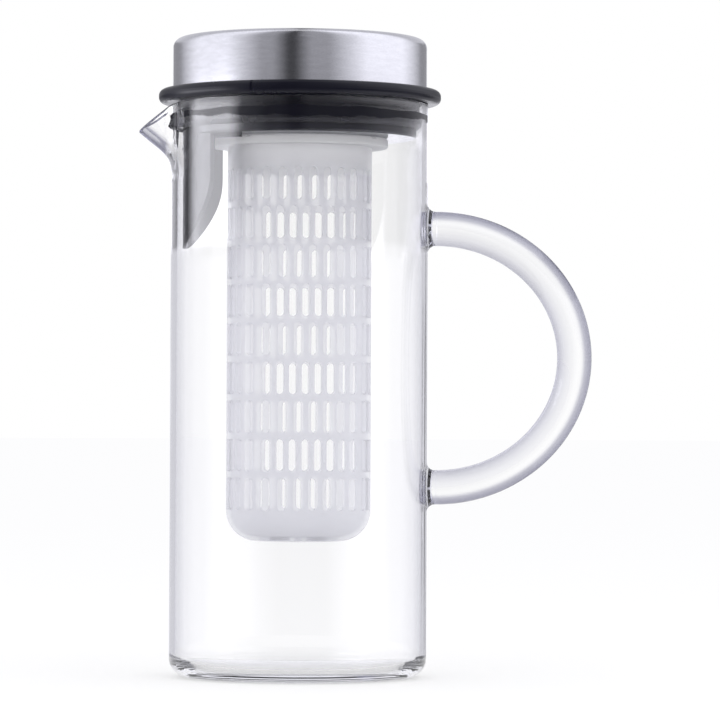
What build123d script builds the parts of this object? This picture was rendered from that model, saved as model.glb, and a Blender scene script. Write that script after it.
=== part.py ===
from build123d import *
import os
from math import cos, pi, radians, sin, sqrt, tan

# Fruit infuser pitcher. Millimetres, +Z up. The origin is the centre of the jug's underside,
# the handle points to +X and the spout to -X.

# Glass jug
body_radius = 50.0
body_height = 222.4
glass_wall = 2.2
base_thickness = 4.0
base_corner_radius = 7.0
rim_round = 0.5

# Pulled spout: how far below the rim the wall starts to bend out and the tip lies
spout_depth = 26.5
spout_tip_drop = 10.8
spout_bend_radius = 10.5
spout_flare_angle = 50.0
spout_half_angle = 20.0
spout_rim_inset = 2.0
spout_rim_bend = 12.0
spout_section_count = 7
spout_point_count = 6

# Glass handle, a half oval, and the shoulders on the body that it is welded to. The drop is
# from the rim to the middle of the upper arm
handle_rod_diameter = 13.4
handle_reach = 57.2
handle_half_height = 50.3
handle_drop = 48.1
shoulder_length = 3.4
shoulder_fillet = 3.0

# Silicone flange ring
flange_overhang = 4.9
flange_thickness = 5.4
flange_edge_round = 2.3
flange_neck_height = 2.8
flange_neck_wall = 1.7

# Silicone lip seal: levels of its features below its top, and how far the free lips reach
# past the mouth of the jug
lip_seal_height = 7.4
lip_band_start = 3.2
lip_band_end = 5.8
lip_foot_inset = 1.5
upper_lip_level = 2.2
upper_lip_reach = 2.0
lip_notch_level = 3.4
lip_notch_reach = 1.5
lower_lip_level = 6.3
lower_lip_reach = 2.9

# Lid plug, and the gap round it that the seal fills
plug_gap = 3.1
plug_wall = 2.2
plug_foot_height = 3.0
plug_foot_step = 0.7
plug_foot_round = 0.9

# Steel cover, set in from the glass, and the plastic carrier inside it
cover_inset = 0.6
cover_height = 19.8
cover_wall = 0.6
cover_edge_round = 3.5
carrier_wall = 2.0
carrier_spigot_length = 8.0

# Pour guard
guard_thickness = 1.2
guard_half_angle = 43.2
guard_straight = 15.4
guard_drop = 43.0
guard_flange_width = 6.5
guard_flange_thickness = 1.5
guard_peg_radius = 1.5
guard_peg_angle = 25.0

# Infuser basket, set in from the plug, and the height of its underside above the table
infuser_gap = 16.6
infuser_height = 52.7
infuser_wall = 1.6
infuser_end_round = 12.0
infuser_flange_reach = 6.3
infuser_flange_thickness = 3.4
infuser_flange_round = 0.5
vent_notch_width = 3.2
vent_notch_depth = 0.9
vent_notch_length = 3.0
slot_width = 3.0
slot_web = 2.4
slot_row_count = 9
slot_top_margin = 12.1
slot_spread = 0.6
odd_row_slot_count = 7
even_row_slot_count = 8
slot_sector_count = 4
slot_turn = -78.5
drain_slot_count = 8
drain_slot_width = 2.4
drain_slot_start = 5.0
drain_slot_end = 15.0

# Twist lock between the infuser and the plug
lug_count = 4
lug_angle = 30.0
lug_reach = 2.2
lug_height = 2.2
ledge_angle = 45.0
ledge_height = 1.8
stop_angle = 5.0

# Clearances
seat_clearance = 0.1
turn_clearance = 0.2
lip_clearance = 0.3
twist_clearance = 0.3
fit_clearance = 0.1
weld_gap = 0.03

# Levels and radii that follow
mouth_radius = body_radius - glass_wall
plug_radius = mouth_radius - plug_gap
cover_radius = body_radius - cover_inset
flange_radius = body_radius + flange_overhang
infuser_radius = plug_radius - infuser_gap
infuser_flange_radius = infuser_radius + infuser_flange_reach
spout_start = body_height - spout_depth
spout_pitch = spout_depth / spout_section_count
flange_base = body_height + seat_clearance
flange_top = flange_base + flange_thickness
lip_top = flange_base - flange_neck_height
lip_bottom = lip_top - lip_seal_height
seal_bore = plug_radius + turn_clearance
neck_radius = seal_bore + flange_neck_wall
foot_top = lip_bottom - turn_clearance
plug_bottom = foot_top - plug_foot_height
foot_radius = plug_radius + plug_foot_step
cover_bottom = flange_top + turn_clearance
cover_top = cover_bottom + cover_height
carrier_radius = cover_radius - cover_wall - fit_clearance
carrier_top = cover_top - cover_wall - fit_clearance
carrier_round = cover_edge_round - cover_wall
spigot_radius = plug_radius - plug_wall - fit_clearance
ledge_radius = infuser_radius + twist_clearance
socket_radius = infuser_radius + lug_reach + twist_clearance
lug_bottom = plug_bottom + ledge_height + twist_clearance
lug_top = lug_bottom + lug_height
ceiling = lug_top + twist_clearance
infuser_top = plug_bottom - twist_clearance
infuser_bottom = infuser_height
infuser_bore = infuser_radius - infuser_wall
slot_zone = infuser_top - slot_top_margin - infuser_bottom - infuser_end_round
slot_height = (slot_zone - (slot_row_count - 1) * slot_web) / slot_row_count
slot_span = slot_spread * 2 * infuser_radius
handle_root = body_radius + shoulder_length
handle_centre_height = body_height - handle_drop - handle_half_height
rod_radius = handle_rod_diameter / 2
span = 2 * (body_radius + handle_reach)
full_turn = 360
half_turn = full_turn / 2


def turned(points):
    """Solid of revolution about Z from an outline of (radius, height) points."""
    return revolve(Plane.XZ * make_face(Polyline(*points, close=True)), Axis.Z)


def cup(radius, bottom, top, corner):
    """Solid cylinder with a rounded lower edge."""
    outline = Polyline((radius, bottom + corner), (radius, top), (0, top), (0, bottom))
    outline += Line((0, bottom), (radius - corner, bottom))
    outline += RadiusArc((radius - corner, bottom), (radius, bottom + corner), -corner)
    return revolve(Plane.XZ * make_face(outline), Axis.Z)


def ring_sector(inner, outer, bottom, top, start, size):
    """Part of a ring, from the start angle round by the size angle."""
    outline = Polyline((inner, bottom), (outer, bottom), (outer, top), (inner, top), close=True)
    return Rot(0, 0, start) * revolve(Plane.XZ * make_face(outline), Axis.Z, size)


def spout_reach(rise, bend):
    """How far the spout stands out at a height above its start."""
    flare = radians(spout_flare_angle)
    if rise <= 0:
        return 0
    if rise < bend * sin(flare):
        return bend - sqrt(bend**2 - rise**2)
    return bend * (1 - cos(flare)) + (rise - bend * sin(flare)) * tan(flare)


def neck_section(level, inset):
    """Horizontal outline of the neck at one level, set in from the outer surface."""
    radius = body_radius - inset
    reach = spout_reach(level - spout_start, spout_bend_radius + inset)
    points = []
    steps = []
    for step in range(-spout_point_count, spout_point_count + 1):
        share = step / spout_point_count
        steps.append((share + 1) / 2)
        angle = pi + share * radians(spout_half_angle)
        distance = radius + reach * cos(share * pi / 2) ** 2
        points.append((distance * cos(angle), distance * sin(angle)))
    (start_x, start_y), (end_x, end_y) = points[0], points[-1]
    turn = 2 * radians(spout_half_angle)
    ends = [(-start_y * turn, start_x * turn), (-end_y * turn, end_x * turn)]
    front = Edge.make_spline(points, tangents=ends, parameters=steps, scale=False)
    back = ThreePointArc(points[-1], (radius, 0), points[0])
    return Pos(0, 0, level) * make_face([front, back])


def neck(inset):
    """Solid neck from below the spout to above the rim."""
    levels = [spout_start + row * spout_pitch for row in range(-1, spout_section_count + 2)]
    return loft([neck_section(level, inset) for level in levels])


# Glass jug: the outer form with its shoulders, less the inner form, trimmed along the rim
neck_base = spout_start - spout_pitch
outer = cup(body_radius, 0, neck_base, base_corner_radius)
shoulder_start = body_radius - glass_wall / 2
for side in (-1, 1):
    arm_level = handle_centre_height + side * handle_half_height
    root = Plane((shoulder_start, 0, arm_level), z_dir=(1, 0, 0))
    outer += extrude(root * Circle(rod_radius), handle_root - shoulder_start)
joints = outer.edges().filter_by_position(Axis.X, body_radius - rod_radius, body_radius)
joints = joints.filter_by(lambda edge: edge.geom_type not in (GeomType.LINE, GeomType.CIRCLE))
outer = fillet(joints, shoulder_fillet)
outer += neck(0)
inner = cup(mouth_radius, base_thickness, neck_base, base_corner_radius - glass_wall)
inner += neck(glass_wall)
tip_rise = spout_depth - spout_tip_drop
tip_radius = body_radius + spout_reach(tip_rise, spout_bend_radius)
rim_start = body_radius - spout_rim_inset
rim_slope = spout_tip_drop / (tip_radius - rim_start)
rim_line = Polyline(
    (span, body_height),
    (-rim_start, body_height),
    (-span, body_height - (span - rim_start) * rim_slope),
    (-span, body_height + span),
    (span, body_height + span),
    close=True,
)
above_rim = make_face(rim_line)
rim_corner = above_rim.vertices().sort_by_distance((-rim_start, body_height))[0]
above_rim = fillet(rim_corner, spout_rim_bend)
glass_jug = outer - inner - extrude(Plane.XZ * above_rim, span, both=True)
rim_faces = glass_jug.faces().filter_by(lambda face: face.center().Z > spout_start)
rim_faces = rim_faces.filter_by(lambda face: face.geom_type in (GeomType.PLANE, GeomType.CYLINDER))
rim_faces = rim_faces.filter_by(lambda face: face.normal_at(face.center()).Z > 1 / 2)
glass_jug = fillet(rim_faces.edges().filter_by(GeomType.LINE, reverse=True), rim_round)

# Glass handle: a rod along half an oval, ends flat against the shoulders
handle_start = handle_root + weld_gap
handle_plane = Plane((handle_start, 0, handle_centre_height), x_dir=(1, 0, 0), z_dir=(0, -1, 0))
handle_path = handle_plane * EllipticalCenterArc(
    (0, 0), handle_reach - shoulder_length, handle_half_height, -half_turn / 2, arc_size=half_turn
)
handle_end = Plane(handle_path @ 0, z_dir=handle_path % 0)
glass_handle = sweep(handle_end * Circle(rod_radius), handle_path)

# Silicone flange ring
flange_ring = turned(
    [
        (seal_bore, lip_top),
        (neck_radius, lip_top),
        (neck_radius, flange_base),
        (flange_radius, flange_base),
        (flange_radius, flange_top),
        (seal_bore, flange_top),
    ]
)
flange_edges = flange_ring.edges().filter_by(GeomType.CIRCLE)
flange_edges = flange_edges.filter_by(lambda edge: edge.radius > cover_radius)
flange_ring = fillet(flange_edges, flange_edge_round)

# Silicone lip seal: a band that lies along the glass, with the free lips filling the spout
lip_band_radius = mouth_radius - lip_clearance
lip_band = turned(
    [
        (seal_bore, lip_bottom),
        (lip_band_radius - lip_foot_inset, lip_bottom),
        (lip_band_radius, lip_top - lip_band_end),
        (lip_band_radius, lip_top - lip_band_start),
        (neck_radius, lip_top),
        (seal_bore, lip_top),
    ]
)
free_lips = turned(
    [
        (seal_bore, lip_bottom),
        (mouth_radius + lip_notch_reach, lip_bottom),
        (mouth_radius + lower_lip_reach, lip_top - lower_lip_level),
        (mouth_radius + lip_notch_reach, lip_top - lip_notch_level),
        (mouth_radius + upper_lip_reach, lip_top - upper_lip_level),
        (neck_radius, lip_top),
        (seal_bore, lip_top),
    ]
)
spout_side = ring_sector(
    seal_bore, span, lip_bottom, lip_top, half_turn - spout_half_angle, 2 * spout_half_angle
)
lip_seal = lip_band + (free_lips & neck(glass_wall + lip_clearance) & spout_side)

# Lid plug with its socket, the ledges and stops of the twist lock, and the holes for the guard
plug_floor = plug_bottom + plug_foot_height
lid_plug = turned(
    [
        (0, ceiling),
        (socket_radius, ceiling),
        (socket_radius, plug_bottom),
        (foot_radius, plug_bottom),
        (foot_radius, foot_top),
        (plug_radius, foot_top),
        (plug_radius, flange_top),
        (plug_radius - plug_wall, flange_top),
        (plug_radius - plug_wall, plug_floor),
        (socket_radius + plug_wall, plug_floor),
        (socket_radius + plug_wall, ceiling + plug_wall),
        (0, ceiling + plug_wall),
    ]
)
foot_edges = lid_plug.edges().filter_by_position(Axis.Z, plug_bottom, plug_bottom)
lid_plug = fillet(foot_edges.sort_by(SortBy.RADIUS)[-1], plug_foot_round)
lug_pitch = full_turn / lug_count
for lug in range(lug_count):
    ledge_start = slot_turn + lug * lug_pitch - ledge_angle / 2
    lid_plug += ring_sector(
        ledge_radius, socket_radius + plug_wall / 2, plug_bottom, plug_bottom + ledge_height,
        ledge_start, ledge_angle,
    )
    lid_plug += ring_sector(
        ledge_radius, socket_radius + plug_wall / 2, plug_bottom, ceiling + plug_wall / 2,
        ledge_start, stop_angle,
    )

# Pour guard: a curved bib with a flange and two pegs that press into the plug
guard_outer = foot_radius
guard_inner = foot_radius - guard_thickness
guard_bottom = plug_bottom - guard_drop
guard_half_width = foot_radius * sin(radians(guard_half_angle))
bib = Polyline(
    (-guard_half_width, plug_bottom - guard_straight),
    (-guard_half_width, plug_bottom),
    (guard_half_width, plug_bottom),
    (guard_half_width, plug_bottom - guard_straight),
)
bib += Pos(0, plug_bottom - guard_straight) * EllipticalCenterArc(
    (0, 0), guard_half_width, guard_drop - guard_straight, half_turn, arc_size=half_turn
)
bib_prism = extrude(Plane.YZ * make_face(bib), -span)
guard_wall = turned(
    [
        (guard_inner, guard_bottom),
        (guard_outer, guard_bottom),
        (guard_outer, plug_bottom),
        (guard_inner - guard_flange_width, plug_bottom),
        (guard_inner - guard_flange_width, plug_bottom - guard_flange_thickness),
        (guard_inner, plug_bottom - guard_flange_thickness),
    ]
)
pour_guard = guard_wall & bib_prism
peg_distance = guard_inner - guard_flange_width / 2
for side in (-1, 1):
    peg_place = Rot(0, 0, half_turn + side * guard_peg_angle) * Pos(peg_distance, 0, plug_bottom)
    pour_guard += peg_place * extrude(Circle(guard_peg_radius), plug_foot_height)
    lid_plug -= peg_place * extrude(Circle(guard_peg_radius + fit_clearance), plug_foot_height)

# Steel cover
lid_cover = Pos(0, 0, cover_bottom) * extrude(Circle(cover_radius), cover_height)
lid_cover = fillet(lid_cover.edges().sort_by(Axis.Z)[-1], cover_edge_round)
hollow = extrude(Circle(cover_radius - cover_wall), cover_height - cover_wall)
hollow = Pos(0, 0, cover_bottom) * hollow
lid_cover -= fillet(hollow.edges().sort_by(Axis.Z)[-1], cover_edge_round - cover_wall)

# Plastic carrier: top plate, outer wall under the cover and a spigot inside the plug
carrier_ceiling = carrier_top - carrier_wall
spigot_bottom = flange_top - carrier_spigot_length
lid_carrier = turned(
    [
        (0, carrier_top),
        (carrier_radius, carrier_top),
        (carrier_radius, cover_bottom),
        (carrier_radius - carrier_wall, cover_bottom),
        (carrier_radius - carrier_wall, carrier_ceiling),
        (spigot_radius, carrier_ceiling),
        (spigot_radius, spigot_bottom),
        (spigot_radius - carrier_wall, spigot_bottom),
        (spigot_radius - carrier_wall, carrier_ceiling),
        (0, carrier_ceiling),
    ]
)
lid_carrier = fillet(lid_carrier.edges().sort_by(Axis.Z)[-1], carrier_round)

# Infuser basket: tube with a rounded end, flange and twist-lock lugs
infuser_basket = cup(infuser_radius, infuser_bottom, lug_top, infuser_end_round)
flange = Pos(0, 0, infuser_top) * extrude(Circle(infuser_flange_radius), -infuser_flange_thickness)
infuser_basket += fillet(flange.edges().filter_by(GeomType.CIRCLE), infuser_flange_round)
for lug in range(lug_count):
    infuser_basket += ring_sector(
        infuser_bore, infuser_radius + lug_reach, lug_bottom, lug_top,
        slot_turn + lug * lug_pitch - lug_angle / 2, lug_angle,
    )
infuser_basket -= cup(
    infuser_bore, infuser_bottom + infuser_wall, lug_top, infuser_end_round - infuser_wall
)

# Vent notches in the top edge of the flange, over the plain strips between the slot sectors
sector_pitch = full_turn / slot_sector_count
notch_place = Pos(infuser_flange_radius - vent_notch_length / 2, 0, infuser_top - vent_notch_depth)
notch = notch_place * extrude(Rectangle(vent_notch_length, vent_notch_width), vent_notch_depth)
sector_turns = [slot_turn + sector * sector_pitch for sector in range(slot_sector_count)]
for turn in sector_turns:
    infuser_basket -= Rot(0, 0, turn + sector_pitch / 2) * notch

# Slots in straight rows, each sector drawn out to its own side as its mould slide does
slots = Sketch()
for row in range(slot_row_count):
    count = even_row_slot_count if row % 2 else odd_row_slot_count
    level = infuser_top - slot_top_margin - slot_height / 2 - row * (slot_height + slot_web)
    for column in range(count):
        place = Pos(slot_span * (column / (count - 1) - 1 / 2), level)
        slots += place * Rectangle(slot_width, slot_height)
slide = extrude(Plane.YZ * slots, infuser_flange_radius)
infuser_basket -= [Rot(0, 0, turn) * slide for turn in sector_turns]
drain = Pos((drain_slot_start + drain_slot_end) / 2, 0) * SlotOverall(
    drain_slot_end - drain_slot_start, drain_slot_width
)
for hole in range(drain_slot_count):
    place = Rot(0, 0, hole * full_turn / drain_slot_count) * Pos(0, 0, infuser_bottom)
    infuser_basket -= place * extrude(drain, infuser_end_round)

os.makedirs("parts", exist_ok=True)
export_step(glass_jug, "parts/glass_jug.step")
export_step(glass_handle, "parts/glass_handle.step")
export_step(lid_cover, "parts/lid_cover.step")
export_step(lid_carrier, "parts/lid_carrier.step")
export_step(lid_plug, "parts/lid_plug.step")
export_step(flange_ring, "parts/flange_ring.step")
export_step(lip_seal, "parts/lip_seal.step")
export_step(pour_guard, "parts/pour_guard.step")
export_step(infuser_basket, "parts/infuser_basket.step")
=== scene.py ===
import math
import random

import bmesh
import bpy
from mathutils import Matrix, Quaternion, Vector
from mathutils.geometry import delaunay_2d_cdt


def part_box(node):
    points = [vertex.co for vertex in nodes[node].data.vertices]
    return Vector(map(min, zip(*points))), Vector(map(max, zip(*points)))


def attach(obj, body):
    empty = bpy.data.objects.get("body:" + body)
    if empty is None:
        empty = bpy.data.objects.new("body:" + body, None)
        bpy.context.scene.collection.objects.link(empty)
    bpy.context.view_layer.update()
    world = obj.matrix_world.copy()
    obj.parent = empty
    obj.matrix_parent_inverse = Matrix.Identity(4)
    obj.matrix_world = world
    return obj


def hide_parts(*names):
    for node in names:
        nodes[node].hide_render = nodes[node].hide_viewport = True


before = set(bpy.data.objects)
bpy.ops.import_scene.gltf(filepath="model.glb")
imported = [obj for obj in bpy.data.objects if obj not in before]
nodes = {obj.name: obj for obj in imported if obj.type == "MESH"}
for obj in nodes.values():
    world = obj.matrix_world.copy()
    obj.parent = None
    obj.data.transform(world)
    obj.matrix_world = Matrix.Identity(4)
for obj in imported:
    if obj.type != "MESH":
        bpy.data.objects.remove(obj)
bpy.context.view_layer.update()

# Lengths are in metres. Named angles are in degrees, and angles that are worked out in radians.

scene = bpy.context.scene

# Share of the finer steps in every noise
NOISE_ROUGHNESS = 0.55


def empty_tree(owner):
    """The emptied node tree of a material or a world."""
    owner.use_nodes = True
    tree = owner.node_tree
    tree.nodes.clear()
    return tree


def fill(tree, node, inputs):
    """Gives a node its inputs, as values or as sockets to link."""
    for key, value in inputs.items():
        if isinstance(value, bpy.types.NodeSocket):
            tree.links.new(value, node.inputs[key])
        else:
            node.inputs[key].default_value = value


def add_node(tree, kind, inputs=None, **settings):
    """A node with its settings and its inputs."""
    node = tree.nodes.new(kind)
    for key, value in settings.items():
        setattr(node, key, value)
    fill(tree, node, inputs or {})
    return node


def bare_material(name):
    """A material whose node tree holds only an output."""
    material = bpy.data.materials.new(name)
    tree = empty_tree(material)
    add_node(tree, "ShaderNodeOutputMaterial", name="output")
    return material, tree


def set_output(tree, part, socket):
    """Joins a socket to the surface or the volume of a material's output."""
    tree.links.new(socket, tree.nodes["output"].inputs[part])


def new_material(name):
    """A material with its node tree, and a Principled shader as its surface."""
    material, tree = bare_material(name)
    shader = add_node(tree, "ShaderNodeBsdfPrincipled")
    set_output(tree, "Surface", shader.outputs["BSDF"])
    return material, tree, shader


def maths(tree, operation, first, second=0.0, clamp=False):
    """One maths node, as its output socket."""
    values = {0: first, 1: second}
    return add_node(tree, "ShaderNodeMath", values, operation=operation, use_clamp=clamp).outputs[0]


def hypotenuse(tree, first, second):
    """Length of two coordinates at right angles, as a socket."""
    squares = [maths(tree, "MULTIPLY", value, value) for value in (first, second)]
    return maths(tree, "SQRT", maths(tree, "ADD", *squares))


def rise(tree, value, start, feather):
    """Nothing up to a start, and one from a feather further on."""
    return maths(tree, "DIVIDE", maths(tree, "SUBTRACT", value, start), feather, clamp=True)


def fall(tree, value, stop, feather):
    """One up to a feather before a stop, and nothing from the stop on."""
    return maths(tree, "DIVIDE", maths(tree, "SUBTRACT", stop, value), feather, clamp=True)


def window(tree, value, low, high, feather):
    """One between two limits and nothing outside them, with soft edges."""
    opening = rise(tree, value, low - feather / 2, feather)
    closing = fall(tree, value, high + feather / 2, feather)
    return maths(tree, "MINIMUM", opening, closing)


def ramp(tree, factor, stops):
    """Colour ramp from (position, colour) stops, as its colour socket. A colour may be one grey."""
    node = add_node(tree, "ShaderNodeValToRGB", {"Fac": factor})
    elements = node.color_ramp.elements
    while len(elements) < len(stops):
        elements.new(0.5)
    for element, (position, colour) in zip(elements, stops):
        element.position = position
        grey = (colour,) * 3 if isinstance(colour, (int, float)) else colour
        element.color = (*grey, 1)
    return node.outputs["Color"]


def mottle(tree, factor, low, high):
    """Ramp over the middle of a noise, from a low to a high colour or grey."""
    return ramp(tree, factor, [(0.3, low), (0.7, high)])


def object_place(tree):
    """The object's own coordinates, as a vector socket."""
    return add_node(tree, "ShaderNodeTexCoord").outputs["Object"]


def axes(tree):
    """X, Y and Z of the object's own coordinates, as sockets."""
    return tuple(add_node(tree, "ShaderNodeSeparateXYZ", {0: object_place(tree)}).outputs)


def angle_from_camera(tree, x, y):
    """Angle round the axis in radians, from the camera side towards the handle."""
    return maths(tree, "ARCTAN2", x, maths(tree, "MULTIPLY", y, -1.0))


def noise(tree, vector, scale, detail):
    """Noise as its factor socket."""
    values = {"Vector": vector, "Scale": scale, "Detail": detail, "Roughness": NOISE_ROUGHNESS}
    return add_node(tree, "ShaderNodeTexNoise", values).outputs["Fac"]


def bump(tree, shader, height, strength, distance):
    """Bump from a height socket on a shader."""
    values = {"Height": height, "Strength": strength, "Distance": distance}
    node = add_node(tree, "ShaderNodeBump", values)
    tree.links.new(node.outputs["Normal"], shader.inputs["Normal"])


def mix(tree, kind, factor, first, second):
    """Two values or two colours mixed by a factor, as a socket."""
    values = {"Factor": factor, "A": first, "B": second}
    return add_node(tree, "ShaderNodeMix", values, data_type=kind).outputs["Result"]


def mix_shaders(tree, factor, first, second):
    """Two shader sockets mixed by a factor, as a shader socket."""
    return add_node(tree, "ShaderNodeMixShader", {0: factor, 1: first, 2: second}).outputs[0]


# Where the free lips of the seal press on the flared glass beside the spout: from, to, feather
PRESSED_X = (-0.0525, -0.0452, 0.001)
PRESSED_Z = (0.2083, 0.2180, 0.0006)


def pressed_lips(tree):
    """One where the free lips press on the glass, nothing elsewhere."""
    x, _, z = axes(tree)
    return maths(tree, "MULTIPLY", window(tree, x, *PRESSED_X), window(tree, z, *PRESSED_Z))


# Painted shade of the glass by how it faces: greys that darken its edges, standing in for the dark the glass
# shows there, from square on at 0 to grazing at 1
FACING_BLEND = 0.5
# Painted shade on the walls, and almost none on the foot
WALL_EDGE_SHADE = [(0.2, 1.0), (0.37, 0.955), (0.55, 0.905), (0.66, 0.87), (0.83, 0.84), (1.0, 0.6)]
FOOT_EDGE_SHADE = [(0.0, 1.0), (1.0, 0.98)]
# Painted dark outlines on the spout, and a painted dark line along its rim
SPOUT_PAINTED_OUTLINE = [(0.36, 1.0), (0.47, 0.62), (0.55, 0.2), (0.66, 0.06), (1.0, 0.02)]
RIM_PAINTED_LINE = [(0.0, 0.12), (0.5, 0.06), (1.0, 0.03)]
# Painted shade of the handle rod: lighter on the inside of its oval, darker on the outside
ROD_INNER_SHADE = [(0.0, 0.9), (0.075, 0.8), (0.165, 0.72), (0.32, 0.6), (0.56, 0.44), (1.0, 0.36)]
ROD_OUTER_SHADE = [(0.05, 1.0), (0.1, 0.88), (0.16, 0.55), (0.23, 0.31), (0.5, 0.28), (1.0, 0.33)]
# Power that keeps more blue in a darker painted shade
SHADE_BLUE = 0.8
# How quickly the rod's inner painted shade passes into its outer one
ROD_SIDE_BLEND = 3.0

# Rim of the spout, which drops towards its tip, along which a dark line is painted
RIM_LEVEL = 0.2224
RIM_BEND_RADIUS = 0.048
RIM_SLOPE = 0.74

# Where the painted shade of the body changes, and the feather of each change
RIM_DEPTH = 0.0011
RIM_FEATHER = 0.0004
FOOT_HEIGHT = 0.010
FOOT_FEATHER = 0.003
SPOUT_START = 0.0003
SPOUT_FEATHER = 0.002
WELD_START = 0.0004
WELD_FEATHER = 0.0006


def painted_edge_shade(tree, facing, stops):
    """Painted shade of glass by how it faces, in greys that turn a little bluer as they darken."""
    return ramp(tree, facing, [(position, (grey, grey, grey ** SHADE_BLUE)) for position, grey in stops])


def handle_painted_shade(tree, facing):
    """Painted shade of the handle glass, soft and lighter on the inside of the oval and hard and darker on
    the outside.
    """
    low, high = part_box("glass_handle")
    rod_radius = (high.y - low.y) / 2
    reach = high.x - low.x - rod_radius
    half_height = (high.z - low.z) / 2 - rod_radius
    x, _, z = axes(tree)
    across = maths(tree, "DIVIDE", maths(tree, "SUBTRACT", x, low.x), reach)
    along = maths(tree, "DIVIDE", maths(tree, "SUBTRACT", z, (low.z + high.z) / 2), half_height)
    past_middle = maths(tree, "SUBTRACT", hypotenuse(tree, across, along), 1.0)
    side = maths(tree, "MULTIPLY", past_middle, reach / rod_radius)
    outside = maths(tree, "ADD", maths(tree, "MULTIPLY", side, ROD_SIDE_BLEND), 0.5, clamp=True)
    inner = painted_edge_shade(tree, facing, ROD_INNER_SHADE)
    outer = painted_edge_shade(tree, facing, ROD_OUTER_SHADE)
    return mix(tree, "RGBA", outside, inner, outer)


def body_painted_shade(tree, facing):
    """Painted shade of the body glass: painted dark outlines on the spout and its rim, almost none at the
    foot, and the handle's painted shade at its welds.
    """
    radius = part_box("glass_jug")[1].y
    x, _, z = axes(tree)
    drop = maths(tree, "MULTIPLY", maths(tree, "ADD", x, RIM_BEND_RADIUS), RIM_SLOPE)
    under_rim = maths(tree, "SUBTRACT", maths(tree, "ADD", drop, RIM_LEVEL), z)
    at_rim = fall(tree, under_rim, RIM_DEPTH, RIM_FEATHER)
    at_foot = fall(tree, z, FOOT_HEIGHT, FOOT_FEATHER)
    at_spout = fall(tree, x, -radius - SPOUT_START, SPOUT_FEATHER)
    at_weld = rise(tree, x, radius + WELD_START, WELD_FEATHER)
    # Painted shade: edges darkened by how they face, with painted dark outlines on the spout and its rim
    wall, foot, spout, rim = (
        painted_edge_shade(tree, facing, painted_shade) for painted_shade in (WALL_EDGE_SHADE, FOOT_EDGE_SHADE, SPOUT_PAINTED_OUTLINE, RIM_PAINTED_LINE)
    )
    painted_tone = mix(tree, "RGBA", at_foot, wall, foot)
    painted_tone = mix(tree, "RGBA", at_spout, painted_tone, mix(tree, "RGBA", at_rim, spout, rim))
    return mix(tree, "RGBA", at_weld, painted_tone, handle_painted_shade(tree, facing))


GLASS_IOR = 1.47
GLASS_ABSORPTION = (0.80, 0.80, 0.84, 1)
GLASS_DENSITY = 5
# Slow waves in the glass
WAVE_SCALE = 28
WAVE_DETAIL = 2
WAVE_DEPTH = 0.001
# Share of the light that the glass lets through to other things, less below this height
CAST_HEIGHT = 0.012
CAST_SHARES = [(0.0, 0.75), (1.0, 0.97)]
# Mirroring that is left where the seal's lips press on the glass: the wetted contact takes away the inner
# face's mirroring, and taking away the outer face's too is painted shade
PRESSED_MIRRORS_PAINTED_DARK = [(0.0, 1.0), (1.0, 0.05)]


def glass(name, waviness, painted_shade, pressed=False):
    """Clear glass with grey edges of painted shade and slow waves, which lets light through to what it holds.
    """
    material, tree, shader = new_material(name)
    facing = add_node(tree, "ShaderNodeLayerWeight", {"Blend": FACING_BLEND}).outputs["Facing"]
    fill(tree, shader, {
        # The base colour carries the painted shade of the edges
        "Base Color": painted_shade(tree, facing),
        "Transmission Weight": 1,
        "IOR": GLASS_IOR,
        "Roughness": 0,
    })
    # Partly painted shade: the glass's mirroring is taken away on both its faces where the lips press
    if pressed:
        fill(tree, shader, {"Specular Tint": ramp(tree, pressed_lips(tree), PRESSED_MIRRORS_PAINTED_DARK)})
    waves = noise(tree, object_place(tree), WAVE_SCALE, WAVE_DETAIL)
    bump(tree, shader, waves, waviness, WAVE_DEPTH)
    height = maths(tree, "DIVIDE", axes(tree)[2], CAST_HEIGHT)
    clear = add_node(tree, "ShaderNodeBsdfTransparent", {"Color": ramp(tree, height, CAST_SHARES)})
    path = add_node(tree, "ShaderNodeLightPath")
    surface = shader.outputs[0]
    for kind in ("Is Diffuse Ray", "Is Shadow Ray"):
        surface = mix_shaders(tree, path.outputs[kind], surface, clear.outputs[0])
    set_output(tree, "Surface", surface)
    values = {"Color": GLASS_ABSORPTION, "Density": GLASS_DENSITY}
    set_output(tree, "Volume", add_node(tree, "ShaderNodeVolumeAbsorption", values).outputs[0])
    return material


# Brushed steel: how far its lines run round the axis, and two grains of (scale, detail, share)
BRUSH_STRETCH = 0.012
BRUSH_GRAINS = [(5200, 3, 0.65), (700, 2, 0.35)]
STEEL_COLOURS = [(0.25, (0.52, 0.52, 0.55)), (0.75, (0.7, 0.7, 0.735))]
STEEL_ROUGHNESS = [(0.2, 0.13), (0.8, 0.2)]
# Stretch of its highlights, and their rotation as a share of a turn
STEEL_ANISOTROPY = 0.3
STEEL_ROTATION = 0.25
STEEL_BUMP = (0.12, 0.0001)


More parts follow.
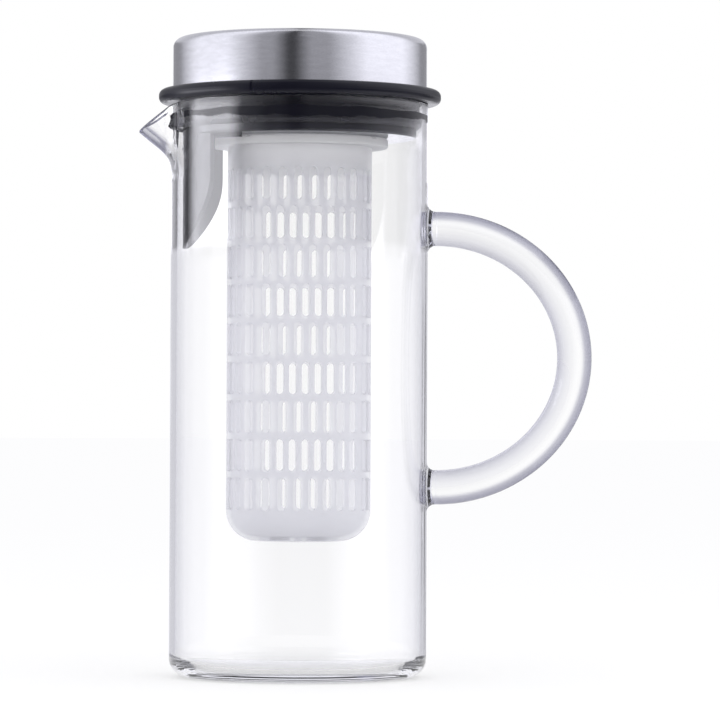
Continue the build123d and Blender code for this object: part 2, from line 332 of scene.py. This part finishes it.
def brushed_steel():
    """Stainless steel brushed round the axis."""
    material, tree, shader = new_material("brushed_steel")
    x, y, z = axes(tree)
    along = maths(tree, "MULTIPLY", maths(tree, "ARCTAN2", y, x), BRUSH_STRETCH)
    across = maths(tree, "ADD", hypotenuse(tree, x, y), z)
    lines = add_node(tree, "ShaderNodeCombineXYZ", {0: along, 1: across}).outputs[0]
    grains = [
        maths(tree, "MULTIPLY", noise(tree, lines, scale, detail), share)
        for scale, detail, share in BRUSH_GRAINS
    ]
    grain = maths(tree, "ADD", *grains)
    tangent = add_node(tree, "ShaderNodeTangent", direction_type="RADIAL", axis="Z")
    fill(tree, shader, {
        "Base Color": ramp(tree, grain, STEEL_COLOURS),
        "Roughness": ramp(tree, grain, STEEL_ROUGHNESS),
        "Metallic": 1,
        "Anisotropic": STEEL_ANISOTROPY,
        "Anisotropic Rotation": STEEL_ROTATION,
        "Tangent": tangent.outputs[0],
    })
    bump(tree, shader, grain, *STEEL_BUMP)
    return material


# Blue that is added to every near-black grey
DARK_BLUE = 0.006


def dark_mottle(tree, factor, low, high):
    """Mottle between two near-black greys, both a little blue."""
    return mottle(tree, factor, (low, low, low + DARK_BLUE), (high, high, high + DARK_BLUE))


# Silicone: the moulded skin, the slow clouds in it, and how dull it is where it is pressed
SKIN_SCALE = 2400
SKIN_BUMP = (0.15, 0.0001)
CLOUD_SCALE = 60
SILICONE_DETAIL = 3
SILICONE_SPREAD = (0.8, 1.25)
SATIN_SPREAD = (-0.04, 0.05)
DULL_ROUGHNESS = (0.8, 0.9)
# Mould line: its width in degrees round the axis, its step, and the skin's share beside it
SEAM_WIDTH = 1.0
SEAM_BUMP = (0.9, 0.0004)
SEAM_SKIN = 0.04


def silicone(name, grey, roughness, shine, seam=None):
    """Dark satin silicone, with a mould line if its angle in degrees from the camera side is given."""
    material, tree, shader = new_material(name)
    place = object_place(tree)
    skin = noise(tree, place, SKIN_SCALE, SILICONE_DETAIL)
    cloud = noise(tree, place, CLOUD_SCALE, SILICONE_DETAIL)
    satin = mottle(tree, cloud, *(roughness + change for change in SATIN_SPREAD))
    dull = mottle(tree, cloud, *DULL_ROUGHNESS)
    fill(tree, shader, {
        "Base Color": dark_mottle(tree, cloud, *(grey * share for share in SILICONE_SPREAD)),
        "Roughness": mix(tree, "RGBA", pressed_lips(tree), satin, dull),
        "Specular IOR Level": shine,
    })
    if seam is None:
        bump(tree, shader, skin, *SKIN_BUMP)
        return material
    x, y, _ = axes(tree)
    past = maths(tree, "SUBTRACT", math.radians(seam), angle_from_camera(tree, x, y))
    step = maths(tree, "ADD", maths(tree, "DIVIDE", past, math.radians(SEAM_WIDTH)), 0.5, clamp=True)
    bump(tree, shader, maths(tree, "ADD", maths(tree, "MULTIPLY", skin, SEAM_SKIN), step), *SEAM_BUMP)
    return material


# Flow marks of the dark plastic
FLOW_SCALE = 90
FLOW_DETAIL = 3
FLOW_SPREAD = (0.85, 1.2)
FLOW_ROUGHNESS = 0.06
FLOW_BUMP = (0.05, 0.0005)


def gloss_plastic(name, grey, roughness, shine):
    """Dark glossy plastic with faint flow marks."""
    material, tree, shader = new_material(name)
    flow = noise(tree, object_place(tree), FLOW_SCALE, FLOW_DETAIL)
    fill(tree, shader, {
        "Base Color": dark_mottle(tree, flow, *(grey * share for share in FLOW_SPREAD)),
        "Roughness": mottle(tree, flow, roughness, roughness + FLOW_ROUGHNESS),
        "Specular IOR Level": shine,
    })
    bump(tree, shader, flow, *FLOW_BUMP)
    return material


def dress(name, material):
    """Puts a material on a CAD node."""
    materials = nodes[name].data.materials
    materials.clear()
    materials.append(material)


dress("glass_jug", glass("body_glass", waviness=0.03, painted_shade=body_painted_shade, pressed=True))
dress("glass_handle", glass("handle_glass", waviness=0.05, painted_shade=handle_painted_shade))
dress("lid_cover", brushed_steel())
dress("flange_ring", silicone("flange_silicone", grey=0.003, roughness=0.3, shine=0.25, seam=-19))
dress("lip_seal", silicone("lip_silicone", grey=0.006, roughness=0.25, shine=0.4))
dress("lid_plug", gloss_plastic("plug_plastic", grey=0.008, roughness=0.08, shine=0.45))
dress("lid_carrier", gloss_plastic("carrier_plastic", grey=0.03, roughness=0.3, shine=0.4))
dress("pour_guard", gloss_plastic("guard_plastic", grey=0.02, roughness=0.06, shine=0.2))

# Infuser basket with round-ended slots, on the CAD basket's sizes
TUBE_RADIUS = 0.0281
TUBE_BORE = 0.0265
TUBE_WALL = TUBE_RADIUS - TUBE_BORE
TUBE_END_ROUND = 0.012
FLANGE_RADIUS = 0.0344
FLANGE_THICKNESS = 0.0034
FLANGE_ROUND = 0.0005
LUG_HEIGHT = 0.0022
LUG_REACH = 0.0022
LUG_ANGLE = 30
LUG_CLEARANCE = 0.0024
# How far a lug reaches into the wall, and how far its top stays under the tube's end
LUG_ROOT = TUBE_WALL / 4
LUG_DROP = TUBE_WALL / 50
SLOT_WIDTH = 0.003
SLOT_ROWS = 9
SLOT_COUNTS = (7, 8)
SLOT_WEB = 0.0024
SLOT_TOP_MARGIN = 0.0121
SLOT_SPREAD = 0.6
SLOT_TURN = -78.5
SECTORS = 4
NOTCH_WIDTH = 0.0032
NOTCH_DEPTH = 0.0009
NOTCH_LENGTH = 0.003
DRAINS = 8
DRAIN_WIDTH = 0.0024
DRAIN_START = 0.005
DRAIN_END = 0.015
DRAIN_LENGTH = DRAIN_END - DRAIN_START

# How finely the basket is drawn
SECTOR_STEPS = 24
LEVEL_STEPS = 48
SLOT_ARC_STEPS = 8
END_STEPS = 10
LUG_STEPS = 10
SLOT_MARGIN = 0.0003
SHEET_TOLERANCE = 1e-7
WELD_TOLERANCE = 2e-6
ANGLE_TOLERANCE = 1e-9
SHARP_ANGLE = 35

# Milky plastic: frost and slow clouds, and how it clears below the flange
FROST_SCALE = 1800
FROST_BUMP = (0.1, 0.0001)
FROST_ROUGHNESS = (0.32, 0.44)
MILK_SCALE = 45
MILK_DETAIL = 3
MILK_COLOURS = ((0.95, 0.95, 0.965), (0.975, 0.975, 0.985))
HAZE_COLOURS = ((0.87, 0.87, 0.895), (0.9, 0.9, 0.92))
MILK_DEPTH = 0.012
MILK_IOR = 1.45
THROUGH_SHARE = 0.5
CLEAR_COLOUR = (0.945, 0.945, 0.965, 1)
CLEAR_SHARES = [(0.0, 0.12), (0.5, 0.4), (1.0, 0.7)]


def milky_plastic():
    """Frosted translucent plastic of the infuser, milkier towards its flange."""
    material, tree, shader = new_material("milky_plastic")
    place = object_place(tree)
    frost = noise(tree, place, FROST_SCALE, MILK_DETAIL)
    cloud = noise(tree, place, MILK_SCALE, MILK_DETAIL)
    flange_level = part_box("infuser_basket")[1].z - LUG_HEIGHT - LUG_CLEARANCE - FLANGE_THICKNESS
    depth = fall(tree, axes(tree)[2], flange_level, MILK_DEPTH)
    milk = mottle(tree, cloud, *MILK_COLOURS)
    haze = mottle(tree, cloud, *HAZE_COLOURS)
    colour = mix(tree, "RGBA", depth, milk, haze)
    fill(tree, shader, {
        "Base Color": colour,
        "Roughness": mottle(tree, frost, *FROST_ROUGHNESS),
        "IOR": MILK_IOR,
    })
    bump(tree, shader, frost, *FROST_BUMP)
    through = add_node(tree, "ShaderNodeBsdfTranslucent", {"Color": colour})
    clear = add_node(tree, "ShaderNodeBsdfTransparent", {"Color": CLEAR_COLOUR})
    body = mix_shaders(tree, THROUGH_SHARE, shader.outputs[0], through.outputs[0])
    share = ramp(tree, depth, CLEAR_SHARES)
    set_output(tree, "Surface", mix_shaders(tree, share, body, clear.outputs[0]))
    return material


def stadium(centre, width, length):
    """Round-ended slot outline about a centre, long the second way."""
    radius = width / 2
    reach = length / 2 - radius
    points = []
    for end, start in ((1, 0), (-1, math.pi)):
        for step in range(SLOT_ARC_STEPS + 1):
            angle = start + math.pi * step / SLOT_ARC_STEPS
            across = centre[0] + radius * math.cos(angle)
            points.append((across, centre[1] + end * reach + radius * math.sin(angle)))
    return points


def in_slot(point, centre, width, length, margin=0.0):
    """Whether a point lies in a round-ended slot grown by a margin."""
    radius = width / 2
    reach = length / 2 - radius
    along = max(abs(point[1] - centre[1]) - reach, 0)
    return math.hypot(point[0] - centre[0], along) < radius + margin


def ring_edges(first, count):
    """Edges of a closed ring of points, from the number of its first point."""
    return [(first + index, first + (index + 1) % count) for index in range(count)]


def holed_sheet(border, grid, holes, inside):
    """Triangles of a flat sheet with holes: its points and its faces."""
    points = list(border)
    edges = ring_edges(0, len(border))
    for hole in holes:
        edges.extend(ring_edges(len(points), len(hole)))
        points.extend(hole)
    points.extend(grid)
    made = delaunay_2d_cdt([Vector(point) for point in points], edges, [], 0, SHEET_TOLERANCE)
    sheet = made[0]

    def middle(face):
        """Middle of a face."""
        return sum((sheet[index] for index in face), Vector((0, 0))) / len(face)

    return sheet, [face for face in made[2] if not inside(middle(face))]


def polar(radius, angle, level):
    """The point at a radius, an angle and a level."""
    return (radius * math.cos(angle), radius * math.sin(angle), level)


def around(profile, angle):
    """A profile of radii and levels, turned to an angle."""
    return [polar(radius, angle, level) for radius, level in profile]


def bent(sheet, radius, turn):
    """Points of a sheet of arc length by height, bent round the axis."""
    return [polar(radius, point[0] / TUBE_RADIUS + turn, point[1]) for point in sheet]


def round_end(radius, level, round_radius):
    """Profile of a round lower end, as radii and levels."""
    profile = []
    for step in range(END_STEPS + 1):
        turn = math.pi / 2 * step / END_STEPS
        across = radius - round_radius + round_radius * math.cos(turn)
        profile.append((across, level + round_radius - round_radius * math.sin(turn)))
    return profile


class MeshBuilder:
    """Collects points and faces, and welds them into one object."""

    def __init__(self):
        self.build = bmesh.new()

    def add(self, points, faces):
        """Faces given as numbers of their points."""
        verts = [self.build.verts.new(point) for point in points]
        for face in faces:
            self.build.faces.new([verts[index] for index in face])

    def cap(self, points):
        """One face on all the points."""
        self.add(points, [range(len(points))])

    def strip(self, first, second, closed=False):
        """Quads between two rows of points."""
        count = len(first)
        faces = []
        for index in range(count if closed else count - 1):
            after = (index + 1) % count
            faces.append((index, after, count + after, count + index))
        self.add(list(first) + list(second), faces)

    def finish(self, name, material):
        """The welded object, shaded smooth but for its sharp edges."""
        bmesh.ops.remove_doubles(self.build, verts=self.build.verts, dist=WELD_TOLERANCE)
        bmesh.ops.recalc_face_normals(self.build, faces=self.build.faces)
        mesh = bpy.data.meshes.new(name)
        self.build.to_mesh(mesh)
        self.build.free()
        mesh.shade_smooth()
        mesh.set_sharp_from_angle(angle=math.radians(SHARP_ANGLE))
        mesh.materials.append(material)
        return add_object(name, mesh)


def add_object(name, data):
    """An object of a mesh, a lamp or a camera, put in the scene."""
    made = bpy.data.objects.new(name, data)
    scene.collection.objects.link(made)
    return made


class Basket:
    """Builds the infuser basket in sectors of slots."""

    def __init__(self):
        low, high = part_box("infuser_basket")
        self.bottom = low.z
        self.lug_top = high.z
        self.top = high.z - LUG_HEIGHT - LUG_CLEARANCE
        self.flange_bottom = self.top - FLANGE_THICKNESS
        self.slot_end = low.z + TUBE_END_ROUND
        slot_begin = self.top - SLOT_TOP_MARGIN
        slots_height = slot_begin - self.slot_end - (SLOT_ROWS - 1) * SLOT_WEB
        self.slot_length = slots_height / SLOT_ROWS
        self.half = math.pi / SECTORS
        self.notch_half = math.asin(NOTCH_WIDTH / 2 / FLANGE_RADIUS)
        self.notch_sides = [self.notch_half - self.half, self.half - self.notch_half]
        even = [-self.half + 2 * self.half * step / SECTOR_STEPS for step in range(SECTOR_STEPS + 1)]
        self.angles = sorted(even + self.notch_sides)
        self.turns = [math.radians(SLOT_TURN) + 2 * self.half * sector for sector in range(SECTORS)]
        self.centres = []
        span = SLOT_SPREAD * 2 * TUBE_RADIUS
        for row in range(SLOT_ROWS):
            count = SLOT_COUNTS[row % 2]
            level = slot_begin - self.slot_length / 2 - row * (self.slot_length + SLOT_WEB)
            self.centres.extend((span * (column / (count - 1) - 0.5), level) for column in range(count))
        self.builder = MeshBuilder()

    def sheet(self, radius):
        """One sector of the tube wall at a radius, as arc length by height: points, faces, holes."""
        width, height = SLOT_WIDTH, self.slot_length

        def flat(point):
            """A point of a slot, cut straight through the tube, on the sheet."""
            return (math.asin(point[0] / radius) * TUBE_RADIUS, point[1])

        def inside(point, margin=0.0):
            """Whether a point of the sheet lies in a slot."""
            place = (radius * math.sin(point[0] / TUBE_RADIUS), point[1])
            near = (
                centre for centre in self.centres
                if abs(centre[1] - place[1]) < height and abs(centre[0] - place[0]) < width
            )
            return any(in_slot(place, centre, width, height, margin) for centre in near)

        arcs = [angle * TUBE_RADIUS for angle in self.angles]
        side = self.half * TUBE_RADIUS
        wall_height = self.flange_bottom - self.slot_end
        levels = [self.slot_end + wall_height * step / LEVEL_STEPS for step in range(LEVEL_STEPS + 1)]
        border = [(arc, levels[0]) for arc in arcs]
        border += [(side, level) for level in levels[1:]]
        border += [(arc, levels[-1]) for arc in reversed(arcs[:-1])]
        border += [(-side, level) for level in reversed(levels[1:-1])]
        grid = [(arc, level) for arc in arcs[1:-1] for level in levels[1:-1]]
        grid = [point for point in grid if not inside(point, SLOT_MARGIN)]
        holes = [[flat(point) for point in stadium(centre, width, height)] for centre in self.centres]
        return *holed_sheet(border, grid, holes, inside), holes

    def add_tube(self):
        """The slotted wall, outside, inside and through the slots."""
        sheets = [(radius, *self.sheet(radius)) for radius in (TUBE_RADIUS, TUBE_BORE)]
        for turn in self.turns:
            rims = []
            for radius, points, faces, holes in sheets:
                self.builder.add(bent(points, radius, turn), faces)
                rims.append([bent(hole, radius, turn) for hole in holes])
            for outer, inner in zip(*rims):
                self.builder.strip(outer, inner, closed=True)

    def add_turned(self):
        """Round end, flange with its notches, and neck."""
        top, low = self.top, self.flange_bottom
        inset = FLANGE_RADIUS - NOTCH_LENGTH
        cut = [(inset, top - NOTCH_DEPTH), (FLANGE_RADIUS, top - NOTCH_DEPTH)]
        outer_end = round_end(TUBE_RADIUS, self.bottom, TUBE_END_ROUND)
        inner_end = round_end(TUBE_BORE, self.bottom + TUBE_WALL, TUBE_END_ROUND - TUBE_WALL)
        under = [(TUBE_RADIUS, low), (FLANGE_RADIUS - FLANGE_ROUND, low), (FLANGE_RADIUS, low + FLANGE_ROUND)]
        over = [(FLANGE_RADIUS, top - FLANGE_ROUND), (FLANGE_RADIUS - FLANGE_ROUND, top), (inset, top)]
        plain = [*under, *over, (TUBE_RADIUS, top)]
        notched = [*under, *reversed(cut), (inset, top), (TUBE_RADIUS, top)]
        neck = [(TUBE_RADIUS, top), (TUBE_RADIUS, self.lug_top), (TUBE_BORE, self.lug_top), (TUBE_BORE, low)]
        notch_side = [*cut, *over]
        notch_begin = self.half - self.notch_half - ANGLE_TOLERANCE
        for turn in self.turns:
            for first, second in zip(self.angles, self.angles[1:]):
                in_notch = min(abs(first), abs(second)) >= notch_begin
                for profile in (outer_end, inner_end, notched if in_notch else plain, neck):
                    self.builder.strip(around(profile, first + turn), around(profile, second + turn))
            for side in self.notch_sides:
                self.builder.cap(around(notch_side, side + turn))

    def add_lugs(self):
        """Lugs of the twist lock on the neck."""
        low, high = self.lug_top - LUG_HEIGHT, self.lug_top - LUG_DROP
        root, tip = TUBE_RADIUS - LUG_ROOT, TUBE_RADIUS + LUG_REACH
        section = [(root, low), (tip, low), (tip, high), (root, high)]
        lug = math.radians(LUG_ANGLE)
        for turn in self.turns:
            ring = [
                around(section, turn - lug / 2 + lug * step / LUG_STEPS) for step in range(LUG_STEPS + 1)
            ]
            for first, second in zip(ring, ring[1:]):
                self.builder.strip(first, second, closed=True)
            self.builder.cap(ring[0])
            self.builder.cap(ring[-1])

    def add_floor(self):
        """Floor of the basket with its drain slots."""
        flat_radius = TUBE_RADIUS - TUBE_END_ROUND
        rim = [polar(flat_radius, turn + angle, 0)[:2] for turn in self.turns for angle in self.angles[:-1]]
        centre = (0, (DRAIN_START + DRAIN_END) / 2)
        directions = [math.radians(360 / DRAINS * drain) for drain in range(DRAINS)]

        def on_floor(point, angle):
            """The floor's point for a point across and along a drain at an angle."""
            across, along = point
            x = along * math.cos(angle) + across * math.sin(angle)
            return (x, along * math.sin(angle) - across * math.cos(angle))

        def in_drain(point):
            """Whether a point of the floor lies in a drain."""
            for angle in directions:
                across = point[0] * math.sin(angle) - point[1] * math.cos(angle)
                along = point[0] * math.cos(angle) + point[1] * math.sin(angle)
                if in_slot((across, along), centre, DRAIN_WIDTH, DRAIN_LENGTH):
                    return True
            return False

        outline = stadium(centre, DRAIN_WIDTH, DRAIN_LENGTH)
        holes = [[on_floor(point, angle) for point in outline] for angle in directions]
        points, faces = holed_sheet(rim, [(0, 0)], holes, in_drain)
        low, high = self.bottom, self.bottom + TUBE_WALL
        for level in (low, high):
            self.builder.add([(*point, level) for point in points], faces)
        for hole in holes:
            rims = ([(*point, level) for point in hole] for level in (low, high))
            self.builder.strip(*rims, closed=True)

    def finish(self):
        """The whole basket as one object."""
        self.add_tube()
        self.add_turned()
        self.add_lugs()
        self.add_floor()
        return self.builder.finish("infuser_tube", milky_plastic())


infuser = Basket().finish()
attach(infuser, "infuser")
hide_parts("infuser_basket")


# Contact line of the lip seal, pressed against the glass all round but for the spout
CONTACT_INSET = 0.00035
CONTACT_FILM = 0.0004
CONTACT_TOP = 0.2184
CONTACT_BOTTOM = 0.2153
CONTACT_GAP = 26
CONTACT_STEPS = 420
CONTACT_SEED = 5
# Waves of its edges: height, number round the neck, and phase in radians
CONTACT_TOP_WAVES = [(0.0003, 3, 0), (0.0002, 11, 0)]
CONTACT_BOTTOM_WAVES = [(0.0007, 2, 1), (0.0003, 17, 0)]
# Ragged change of the edges from one step to the next
FRAY_STEP = 0.00022
FRAY_MEMORY = 0.7
FRAY_TOP_SHARE = 0.4


def ripple(waves, angle):
    """Height of some waves at an angle round the neck."""
    return sum(height * math.sin(count * angle + phase) for height, count, phase in waves)


def contact_mesh():
    """A thin dark film with ragged edges on the outside of the lip seal."""
    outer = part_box("lip_seal")[1].y + CONTACT_INSET
    inner = outer - CONTACT_FILM
    draw = random.Random(CONTACT_SEED)
    builder = MeshBuilder()
    start = math.pi + math.radians(CONTACT_GAP)
    sweep = 2 * (math.pi - math.radians(CONTACT_GAP))
    rows = []
    fray = 0.0
    for step in range(CONTACT_STEPS + 1):
        angle = start + sweep * step / CONTACT_STEPS
        fray = FRAY_MEMORY * fray + draw.uniform(-FRAY_STEP, FRAY_STEP)
        top = CONTACT_TOP + ripple(CONTACT_TOP_WAVES, angle) + FRAY_TOP_SHARE * fray
        low = CONTACT_BOTTOM + ripple(CONTACT_BOTTOM_WAVES, angle) + fray
        rows.append(around([(outer, low), (outer, top), (inner, top), (inner, low)], angle))
    for first, second in zip(rows, rows[1:]):
        builder.strip(first, second, closed=True)
    builder.cap(rows[0])
    builder.cap(rows[-1])
    film = silicone("contact_silicone", grey=0.003, roughness=0.5, shine=0.1)
    return builder.finish("seal_contact", film)


contact = contact_mesh()
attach(contact, "seal")

# World: even white
world = bpy.data.worlds.new("studio")
scene.world = world
world_tree = empty_tree(world)
background = add_node(world_tree, "ShaderNodeBackground", {"Color": (1, 1, 1, 1), "Strength": 1.0})
add_node(world_tree, "ShaderNodeOutputWorld", {"Surface": background.outputs[0]})

# Floor: plain and pale, with a little glow where the camera, a reflection or glass shows it
FLOOR_HALF = 40
FLOOR_DROP = 0.0002
FLOOR_COLOUR = (0.8, 0.8, 0.81, 1)
FLOOR_ROUGHNESS = 0.9
FLOOR_GLOW = 0.18


def floor_material():
    """Matte floor that glows a little where it is seen."""
    material, tree, shader = new_material("pale_floor")
    path = add_node(tree, "ShaderNodeLightPath").outputs
    seen = maths(tree, "MAXIMUM", path["Is Camera Ray"], path["Is Glossy Ray"])
    seen = maths(tree, "MAXIMUM", seen, path["Is Transmission Ray"])
    fill(tree, shader, {
        "Base Color": FLOOR_COLOUR,
        "Roughness": FLOOR_ROUGHNESS,
        "Specular IOR Level": 0,
        "Emission Color": (1, 1, 1, 1),
        "Emission Strength": maths(tree, "MULTIPLY", seen, FLOOR_GLOW),
    })
    return material


floor_mesh = bpy.data.meshes.new("floor")
corners = [(x * FLOOR_HALF, y * FLOOR_HALF, 0) for x, y in ((-1, -1), (1, -1), (1, 1), (-1, 1))]
floor_mesh.from_pydata(corners, [], [(0, 1, 2, 3)])
floor_mesh.materials.append(floor_material())
floor = add_object("floor", floor_mesh)
floor.location.z = -FLOOR_DROP

# Studio surround: what polished surfaces mirror, and nothing else shows
SURROUND_RADIUS = 0.16
SURROUND_HEIGHT = 1.6
SURROUND_SEGMENTS = 96
SURROUND_COLOUR = (0.94, 0.94, 1, 1)
# An angle past the back, where a box is open ended
PAST_BACK = 400


def back_boxes(start, feather, strength):
    """The two halves of a soft box round the back, from an angle on either side."""
    return [(start, PAST_BACK, feather, strength), (-PAST_BACK, -start, feather, strength)]


# Brightness by angle from the camera side: an even level, and soft boxes of (from, to, feather, strength)
HIGH_LEVEL = 0.5
HIGH_BOXES = [
    (-106, -44, 30, 0.9),
    (39, 109, 32, 1.05),
    (-14, 3, 12, -0.42),
    *back_boxes(118, 24, -0.12),
    *back_boxes(152, 8, 0.7),
]
NECK_LEVEL = 0.2
NECK_BOXES = [
    (-97, -51, 11, 4.6),
    (-70, -36, 26, 0.6),
    (-10, 4, 8, -0.13),
    (60, 142, 24, 0.28),
    (102, 142, 18, 0.2),
    (-131, -121, 4, -0.1),
    *back_boxes(150, 8, 1.6),
]
FLANK_BOXES = [(108, 150, 16, 0.12), (-150, -131, 4, 0.22), (-121, -112, 4, 0.22)]
SHADE_BOXES = [(106, 122, 8, -0.25), (106, 130, 10, -0.45)]
BASE_LEVEL = 0.5
BASE_BOXES = back_boxes(100, 40, 0.2)
OVERHEAD_LEVEL = 0.8
OVERHEAD_BOXES = back_boxes(176, 6, -0.5)
# Heights between which the neck's boxes hold, and up to which its flanks and its shade do
NECK_HEIGHTS = (0.172, 0.231)
FLANK_TOP = 0.2185
SHADE_TOP = 0.2145
NECK_FEATHER = 0.004
# Height from which the overhead boxes hold, and the angle behind which they do
OVERHEAD_HEIGHT = 0.275
OVERHEAD_FEATHER = 0.012
OVERHEAD_ANGLE = 110


def boxes_of(tree, degrees, level, boxes):
    """Brightness of the surround by angle: an even level and its soft boxes."""
    total = level
    for low, high, feather, strength in boxes:
        box = maths(tree, "MULTIPLY", window(tree, degrees, low, high, feather), strength)
        total = maths(tree, "ADD", box, total)
    return total


def below(tree, height, top, boxes):
    """Soft boxes that end at a height."""
    return maths(tree, "MULTIPLY", boxes, fall(tree, height, top + NECK_FEATHER / 2, NECK_FEATHER))


def surround_material():
    """Walls that give light to mirrored rays alone, and are open air to all others."""
    material, tree = bare_material("studio_walls")
    x, y, z = axes(tree)
    degrees = maths(tree, "MULTIPLY", angle_from_camera(tree, x, y), 180 / math.pi)
    height = maths(tree, "ADD", z, SURROUND_HEIGHT / 2)
    neck = boxes_of(tree, degrees, NECK_LEVEL, NECK_BOXES)
    for top, boxes in ((FLANK_TOP, FLANK_BOXES), (SHADE_TOP, SHADE_BOXES)):
        neck = maths(tree, "ADD", neck, below(tree, height, top, boxes_of(tree, degrees, 0.0, boxes)))
    under_neck = maths(tree, "LESS_THAN", height, NECK_HEIGHTS[0])
    base = maths(tree, "MULTIPLY", under_neck, boxes_of(tree, degrees, BASE_LEVEL, BASE_BOXES))
    rest = maths(tree, "MAXIMUM", boxes_of(tree, degrees, HIGH_LEVEL, HIGH_BOXES), base)
    at_neck = window(tree, height, *NECK_HEIGHTS, NECK_FEATHER)
    sides = mix(tree, "FLOAT", at_neck, rest, neck)
    behind = maths(tree, "GREATER_THAN", maths(tree, "ABSOLUTE", degrees), OVERHEAD_ANGLE)
    high_up = rise(tree, height, OVERHEAD_HEIGHT - OVERHEAD_FEATHER / 2, OVERHEAD_FEATHER)
    overhead = boxes_of(tree, degrees, OVERHEAD_LEVEL, OVERHEAD_BOXES)
    walls = mix(tree, "FLOAT", maths(tree, "MULTIPLY", behind, high_up), sides, overhead)
    emit = add_node(tree, "ShaderNodeEmission", {"Color": SURROUND_COLOUR, "Strength": walls})
    path = add_node(tree, "ShaderNodeLightPath")
    mirrored = maths(tree, "MINIMUM", path.outputs["Glossy Depth"], 1.0)
    open_air = add_node(tree, "ShaderNodeBsdfTransparent")
    set_output(tree, "Surface", mix_shaders(tree, mirrored, open_air.outputs[0], emit.outputs[0]))
    return material


surround_mesh = bpy.data.meshes.new("surround")
build = bmesh.new()
bmesh.ops.create_cone(
    build,
    cap_ends=False,
    segments=SURROUND_SEGMENTS,
    radius1=SURROUND_RADIUS,
    radius2=SURROUND_RADIUS,
    depth=SURROUND_HEIGHT,
)
build.to_mesh(surround_mesh)
build.free()
surround_mesh.materials.append(surround_material())
surround = add_object("surround", surround_mesh)
surround.location.z = SURROUND_HEIGHT / 2
surround.visible_camera = False
surround.visible_diffuse = False
surround.visible_shadow = False
surround.visible_volume_scatter = False

# Soft lamps: name, place, width and height, radiance
LAMPS = [
    ("lamp_left", (-0.75, -1.36, 0.4), (1.0, 0.8), 1.9),
    ("lamp_right", (1.1, -1.1, 0.4), (1.0, 0.8), 1.6),
]
LAMP_TARGET = Vector((0, 0, 0.12))


def softbox_lamp(name, place, size, radiance):
    """Rectangular soft lamp aimed at the object."""
    lamp = bpy.data.lights.new(name, "AREA")
    lamp.shape = "RECTANGLE"
    lamp.size, lamp.size_y = size
    lamp.energy = radiance * math.pi * size[0] * size[1]
    holder = add_object(name, lamp)
    holder.location = place
    holder.rotation_mode = "QUATERNION"
    holder.rotation_quaternion = (LAMP_TARGET - Vector(place)).to_track_quat("-Z", "Y")
    holder.visible_glossy = False
    holder.visible_transmission = False


for lamp_values in LAMPS:
    softbox_lamp(*lamp_values)

# Camera fit to the photograph, 720 pixels wide and high
IMAGE_SIZE = 720
PIXELS_PER_METRE = 2570
CAMERA_DISTANCE = 1.6
CAMERA_HEIGHT = 0.096
CAMERA_ROLL = 0.25
CAMERA_CLIP = (0.01, 200)
AIM = Vector((0.0238, 0, 0.1231))
SENSOR = 36

camera_data = bpy.data.cameras.new("camera")
camera_data.sensor_width = SENSOR
camera_data.lens = PIXELS_PER_METRE * CAMERA_DISTANCE / IMAGE_SIZE * SENSOR
camera_data.clip_start, camera_data.clip_end = CAMERA_CLIP
camera = add_object("camera", camera_data)
camera.location = (AIM.x, -CAMERA_DISTANCE, CAMERA_HEIGHT)
camera.rotation_mode = "QUATERNION"
aim = (AIM - camera.location).to_track_quat("-Z", "Y")
camera.rotation_quaternion = aim @ Quaternion((0, 0, 1), math.radians(CAMERA_ROLL))
scene.camera = camera

scene.view_settings.view_transform = "Standard"
# Bounces enough for light through several walls of glass
scene.cycles.max_bounces = 64
scene.cycles.diffuse_bounces = 12
scene.cycles.glossy_bounces = 48
scene.cycles.transmission_bounces = 48
